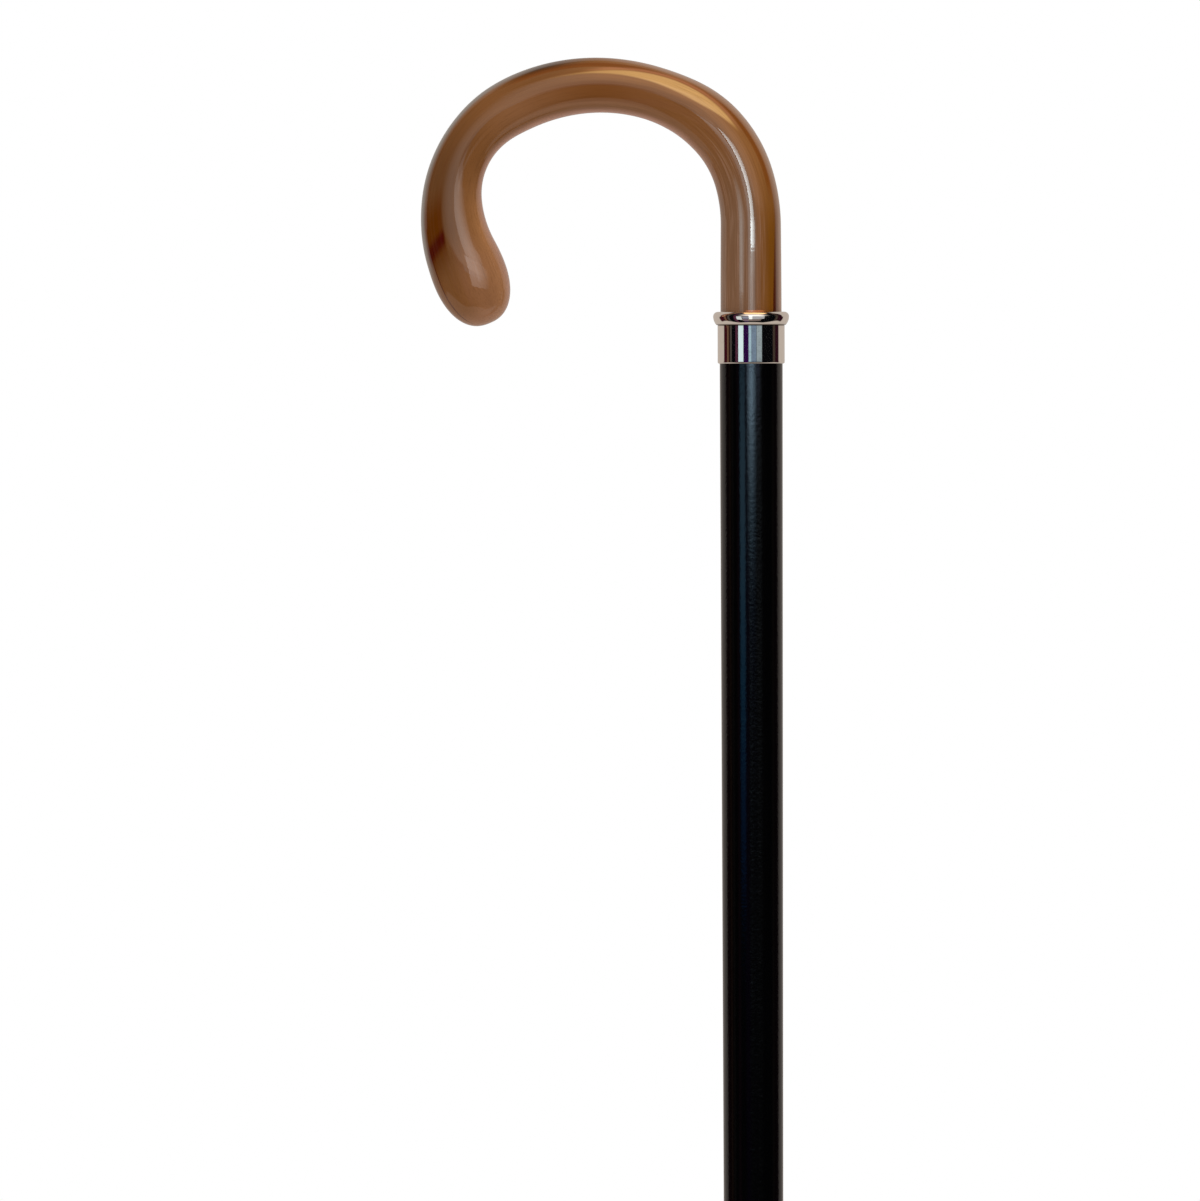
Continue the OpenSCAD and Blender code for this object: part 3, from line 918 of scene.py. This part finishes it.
def studio_world(settings):
    """White behind the cane, a plain soft light on it, and in its gloss a studio that is dark
    on the camera's side, with white round and below."""
    world = bpy.data.worlds.new("studio")
    bpy.context.scene.world = world
    world.use_nodes = True
    r = Recipe(world.node_tree)
    place = r.wire("ShaderNodeTexCoord", "Generated")
    parts = r.add("ShaderNodeSeparateXYZ", None, {0: place})
    x, y, z = (Wire(r, parts.outputs[i]) for i in range(3))
    bearing = x.maths("ARCTAN2", x, y * -1.0) * (180 / math.pi)
    lift = z.maths("ARCSINE", z) * (180 / math.pi)
    reach = bearing.size() - (1 - lift.between(-2.0, -0.2)) * 6.0
    dip = lift - bearing.size().between(45.0, 100.0) * 28.0
    dark = (1 - reach.between(106.0, 111.0)) * dip.between(-58.0, -53.0)
    dark = dark.maths("MAXIMUM", dark, lift.between(52.0, 60.0))
    paper = (0.53, 0.465, 0.42, 1.0)
    room = (0.002, 0.002, 0.003, 1.0)
    for start, end, tint in STUDIO_STRIPS:
        room = r.blend(bearing.band(start, end, 1.5), room, rgba(tint))
    level = lift.between(-0.5, -0.1) * (1 - lift.between(3.0, 6.0))
    for start, end, tint in LEVEL_STRIPS:
        room = r.blend(bearing.band(start, end, 2.0) * level, room, rgba(tint))
    veil = lift.between(3.5, 6.5) * (1 - lift.between(44.0, 56.0))
    veil = veil * bearing.between(-50.0, -5.0) * (1 - bearing.between(20.0, 62.0))
    room = r.blend(veil, room, (1.05, 0.95, 0.88, 1.0))
    room = r.blend(lift.between(60.0, 75.0), room, (0.07, 0.075, 0.09, 1.0))
    gloss = r.blend(dark, paper, room)
    ambient = settings.ambient
    rays = r.add("ShaderNodeLightPath")
    camera = Wire(r, rays.outputs["Is Camera Ray"])
    glossy = Wire(r, rays.outputs["Is Glossy Ray"])
    light = r.blend(glossy, (ambient, ambient, ambient, 1.0), gloss)
    light = r.blend(camera, light, (1.0, 1.0, 1.0, 1.0))
    background = r.add("ShaderNodeBackground", None, {"Color": light, "Strength": 1.0})
    output = r.add("ShaderNodeOutputWorld")
    r.tree.links.new(background.outputs[0], output.inputs[0])


def pale_floor():
    """A plain pale floor that fades into the white round it, and shows nothing from below. The
    cane is held by its crook, and the floor lies just under the lowest place of the ferrule."""
    bm = bmesh.new()
    drop = max(joint["range_m"][1] for joint in frame["joints"])
    bmesh.ops.create_circle(bm, cap_ends=True, cap_tris=True, segments=64, radius=4.0,
                            matrix=Matrix.Translation((0.0, 0.0, -drop - 0.0005)))
    mesh = bpy.data.meshes.new("floor")
    bm.to_mesh(mesh)
    bm.free()
    floor = bpy.data.objects.new("floor", mesh)
    floor.visible_glossy = False
    bpy.context.scene.collection.objects.link(floor)
    material, r = new_finish("pale_floor")
    place = r.wire("ShaderNodeTexCoord", "Object")
    far = r.wire("ShaderNodeVectorMath", "Value", {"operation": "LENGTH"}, {0: place})
    below = r.wire("ShaderNodeNewGeometry", "Backfacing")
    diffuse = r.add("ShaderNodeBsdfDiffuse", None, {"Color": (0.9, 0.9, 0.9, 1.0)})
    clear = r.add("ShaderNodeBsdfTransparent")
    mixed = r.add("ShaderNodeMixShader", None,
                  {0: below.maths("MAXIMUM", below, far.between(0.5, 2.0)),
                   1: Wire(r, diffuse.outputs[0]), 2: Wire(r, clear.outputs[0])})
    output = r.add("ShaderNodeOutputMaterial")
    r.tree.links.new(mixed.outputs[0], output.inputs[0])
    mesh.materials.append(material)


class CANE_OT_studio(bpy.types.Operator):
    """Set up the camera, the lights and the floor"""

    bl_idname = "cane.studio"
    bl_label = "Studio"

    def execute(self, context):
        sizes = context.scene.cane.studio
        camera = bpy.data.cameras.new("camera")
        camera.lens = camera.sensor_width * sizes.distance / sizes.picture_w
        camera.clip_start, camera.clip_end = 0.1, 50.0
        thing = bpy.data.objects.new("camera", camera)
        aim(thing, (sizes.aim_x, -sizes.distance, sizes.camera_z),
            (sizes.aim_x, 0.0, sizes.aim_z))
        thing.rotation_euler.rotate_axis("Z", sizes.roll)
        context.scene.camera = thing
        studio_world(sizes)
        key_light()
        for light in CROOK_LIGHTS:
            soft_box("crook", *light)
        for light in RING_LIGHTS:
            soft_box("collar_bead", *light)
        soft_box("collar_tube", "sleeve_left", (-0.356, -0.182), (0.78, 0.88), 0.35, 0.97, COOL)
        for light in SHAFT_LIGHTS:
            soft_box("tapered_shaft", *light)
        for foot, top, level, tint in STREAK_STRIPS:
            soft_box("tapered_shaft", "streak", STREAK_SIDES, (foot, top), 0.35, level, tint,
                     STREAK_SPREAD, STREAK_FACES)
        pale_floor()
        context.scene.view_settings.view_transform = "Standard"
        return {"FINISHED"}


class CANE_PT_panel(bpy.types.Panel):
    """The cane's pieces, in the 3D view's sidebar"""

    bl_idname = "CANE_PT_panel"
    bl_label = "Cane"
    bl_space_type = "VIEW_3D"
    bl_region_type = "UI"
    bl_category = "Cane"

    def draw(self, context):
        for operator in OPERATORS:
            self.layout.operator(operator.bl_idname)
        for name in CaneSettings.__annotations__:
            box = self.layout.box()
            box.label(text=name.capitalize())
            group = getattr(context.scene.cane, name)
            for field in type(group).__annotations__:
                box.prop(group, field)


OPERATORS = (CANE_OT_crook, CANE_OT_collar, CANE_OT_shaft, CANE_OT_stud, CANE_OT_ferrule,
             CANE_OT_studio)
CLASSES = (CrookSizes, CollarSizes, ShaftSizes, FerruleSizes, FinishColours, StudioSizes,
           CaneSettings) + OPERATORS + (CANE_PT_panel,)


def register():
    for each in CLASSES:
        bpy.utils.register_class(each)
    bpy.types.Scene.cane = PointerProperty(type=CaneSettings)


def unregister():
    del bpy.types.Scene.cane
    for each in reversed(CLASSES):
        bpy.utils.unregister_class(each)


def main():
    register()
    bpy.ops.cane.crook()
    bpy.ops.cane.collar()
    bpy.ops.cane.shaft()
    bpy.ops.cane.stud()
    bpy.ops.cane.ferrule()
    bpy.ops.cane.studio()


if __name__ == "__main__":
    main()
